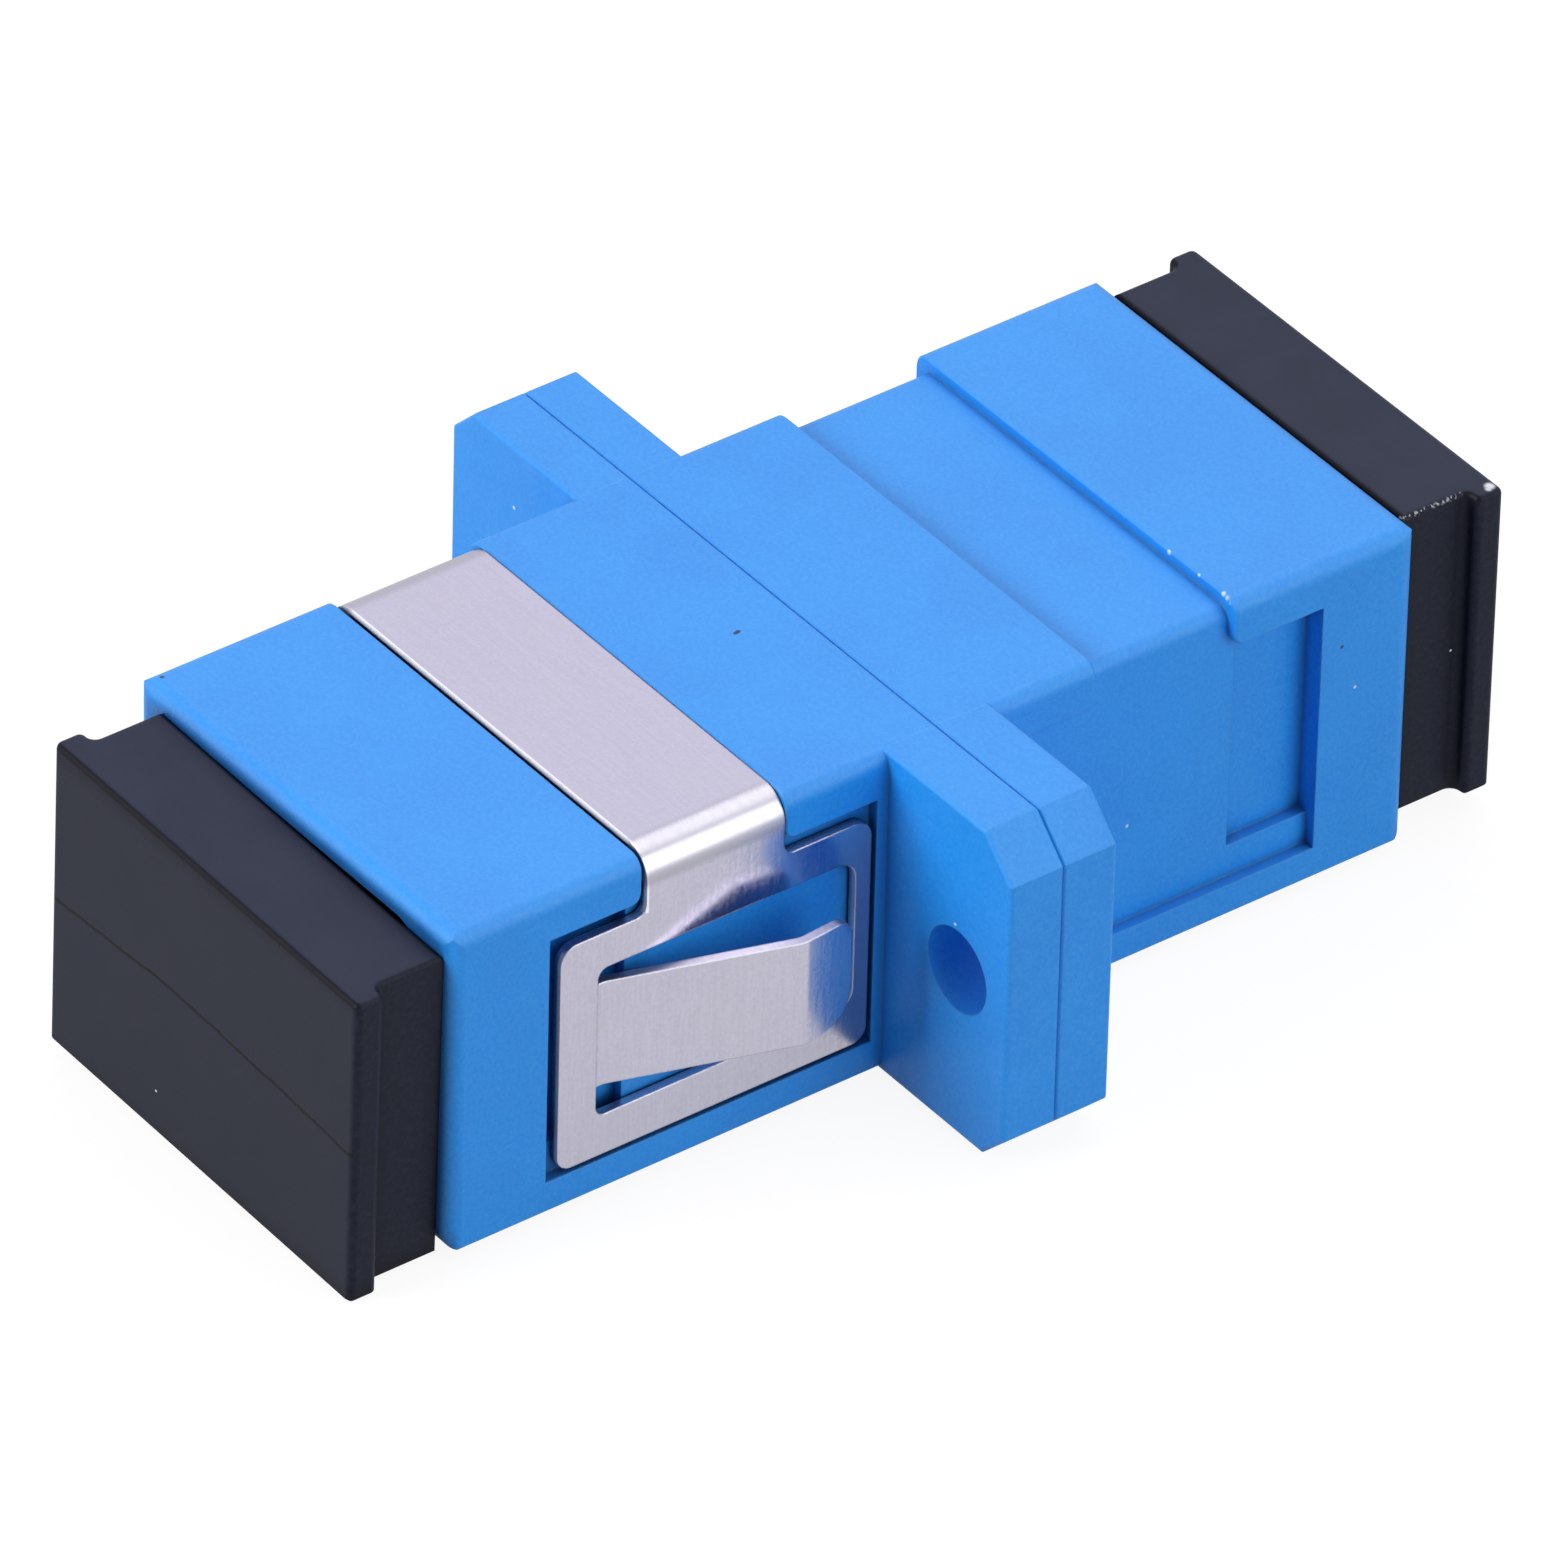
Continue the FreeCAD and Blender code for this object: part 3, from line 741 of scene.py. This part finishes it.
tablePaper = {
    "halfSize": 1.2,
    "paper": (0.38, 0.38, 0.4, 1),
    "roughness": 0.9,
    "shownShare": 0.14,  # how much of the table's own shading shows in the white
    "whiteLevel": 1.02,
    "shadeLevel": 0.85,  # the shading's own brightness in the open, taken off the white
    "glossPaper": (0.2, 0.2, 0.21, 1),
    "glossGlow": 0.68,  # what polished pieces see of the table, above its own shade
}


def makeTable(spec):
    low = cadBox[0][2]
    half = spec["halfSize"]
    mesh = bpy.data.meshes.new("paleTable")
    corners = [(-half, -half, low), (half, -half, low), (half, half, low), (-half, half, low)]
    mesh.from_pydata(corners, [], [(0, 1, 2, 3)])
    table = bpy.data.objects.new("paleTable", mesh)
    bpy.context.scene.collection.objects.link(table)
    material, tree, shader = startMaterial("paleTable")
    shader.inputs["Base Color"].default_value = spec["paper"]
    shader.inputs["Roughness"].default_value = spec["roughness"]
    output = tree.nodes["Material Output"]
    path = tree.nodes.new("ShaderNodeLightPath")

    # the camera sees white paper with the object's shadow on it
    shade = tree.nodes.new("ShaderNodeBsdfDiffuse")
    share = spec["shownShare"]
    shade.inputs["Color"].default_value = (share, share, share, 1)
    white = tree.nodes.new("ShaderNodeEmission")
    white.inputs["Strength"].default_value = spec["whiteLevel"] - share * spec["shadeLevel"]
    seen = tree.nodes.new("ShaderNodeAddShader")
    tree.links.new(shade.outputs[0], seen.inputs[0])
    tree.links.new(white.outputs[0], seen.inputs[1])

    # polished pieces see it bright too
    glow = tree.nodes.new("ShaderNodeEmission")
    glow.inputs["Strength"].default_value = spec["glossGlow"]
    dim = tree.nodes.new("ShaderNodeBsdfDiffuse")
    dim.inputs["Color"].default_value = spec["glossPaper"]
    mirrored = tree.nodes.new("ShaderNodeAddShader")
    tree.links.new(dim.outputs[0], mirrored.inputs[0])
    tree.links.new(glow.outputs[0], mirrored.inputs[1])

    forGloss = tree.nodes.new("ShaderNodeMixShader")
    forCamera = tree.nodes.new("ShaderNodeMixShader")
    tree.links.new(path.outputs["Is Glossy Ray"], forGloss.inputs[0])
    tree.links.new(shader.outputs[0], forGloss.inputs[1])
    tree.links.new(mirrored.outputs[0], forGloss.inputs[2])
    tree.links.new(path.outputs["Is Camera Ray"], forCamera.inputs[0])
    tree.links.new(forGloss.outputs[0], forCamera.inputs[1])
    tree.links.new(seen.outputs[0], forCamera.inputs[2])
    tree.links.new(forCamera.outputs[0], output.inputs[0])
    mesh.materials.append(material)


studioSky = {
    "base": (0.2, 0.2, 0.215, 1),
    "forGloss": (0.85, 0.84, 0.88, 1),  # what polished pieces see of the sky
    "backdrop": (1, 1, 1, 1),
    "glow": (1.0, 0.98, 1.08, 1),
    "glowFrom": (-0.635, 0.49, 0.6),
    "glowReach": (0.62, 0.93),
}


def makeSky(spec):
    world = bpy.data.worlds.new("studioSky")
    bpy.context.scene.world = world
    world.use_nodes = True
    tree = world.node_tree
    tree.nodes.clear()
    output = tree.nodes.new("ShaderNodeOutputWorld")
    coords = tree.nodes.new("ShaderNodeTexCoord")
    towards = tree.nodes.new("ShaderNodeVectorMath")
    towards.operation = "DOT_PRODUCT"
    tree.links.new(coords.outputs["Generated"], towards.inputs[0])
    towards.inputs[1].default_value = spec["glowFrom"]
    glow = remap(tree, towards.outputs["Value"], *spec["glowReach"])
    path = tree.nodes.new("ShaderNodeLightPath")
    base = blendColours(tree, path.outputs["Is Glossy Ray"], spec["base"], spec["forGloss"])
    light = tree.nodes.new("ShaderNodeBackground")
    tree.links.new(blendColours(tree, glow, base, spec["glow"]), light.inputs["Color"])
    plain = tree.nodes.new("ShaderNodeBackground")
    plain.inputs["Color"].default_value = spec["backdrop"]
    mix = tree.nodes.new("ShaderNodeMixShader")
    tree.links.new(path.outputs["Is Camera Ray"], mix.inputs[0])
    tree.links.new(light.outputs[0], mix.inputs[1])
    tree.links.new(plain.outputs[0], mix.inputs[2])
    tree.links.new(mix.outputs[0], output.inputs[0])


softboxes = {
    "overheadSoftbox": {"place": (-0.02, 0.2, 0.5), "size": (0.46, 0.46), "power": 0.81},
    "rearRightSoftbox": {"place": (0.48, 0.16, 0.2), "size": (0.56, 0.5), "power": 1.84},
    "frontLeftSoftbox": {"place": (-0.14, -0.51, 0.25), "size": (0.26, 0.26), "power": 2.72},
}


def addSoftbox(name, spec):
    light = bpy.data.lights.new(name, "AREA")
    light.shape = "RECTANGLE"
    light.size, light.size_y = spec["size"]
    light.energy = spec["power"]
    lamp = bpy.data.objects.new(name, light)
    bpy.context.scene.collection.objects.link(lamp)
    lamp.location = spec["place"]
    lamp.rotation_euler = (-Vector(spec["place"])).to_track_quat("-Z", "Y").to_euler()


makeTable(tablePaper)
makeSky(studioSky)
for softbox, spec in softboxes.items():
    addSoftbox(softbox, spec)
print("table, sky and softboxes in place")

# angles in degrees; the offset shifts the view sideways and up
mainView = {
    "azimuth": 52.36,
    "elevation": 36.68,
    "roll": 1.551,
    "distance": 509.6 * mm,
    "offset": (0.036 * mm, 0.459 * mm),
    "sensor": 36,
    "lens": 494.19,
    "clip": (0.02, 10),
}


def aimCamera(spec):
    azimuth = math.radians(spec["azimuth"])
    elevation = math.radians(spec["elevation"])
    roll = math.radians(spec["roll"])
    back = Vector((
        math.sin(azimuth) * math.cos(elevation),
        -math.cos(azimuth) * math.cos(elevation),
        math.sin(elevation),
    ))
    level = Vector((math.cos(azimuth), math.sin(azimuth), 0))
    rise = back.cross(level)
    right = math.cos(roll) * level + math.sin(roll) * rise
    up = math.cos(roll) * rise - math.sin(roll) * level
    place = spec["distance"] * back - spec["offset"][0] * right - spec["offset"][1] * up
    lens = bpy.data.cameras.new("mainCamera")
    lens.sensor_width = spec["sensor"]
    lens.lens = spec["lens"]
    lens.clip_start, lens.clip_end = spec["clip"]
    camera = bpy.data.objects.new("mainCamera", lens)
    bpy.context.scene.collection.objects.link(camera)
    turn = Matrix((right, up, back)).transposed().to_4x4()
    camera.matrix_world = Matrix.Translation(place) @ turn
    bpy.context.scene.camera = camera


aimCamera(mainView)
bpy.context.scene.view_settings.view_transform = "Standard"
print("camera aimed")
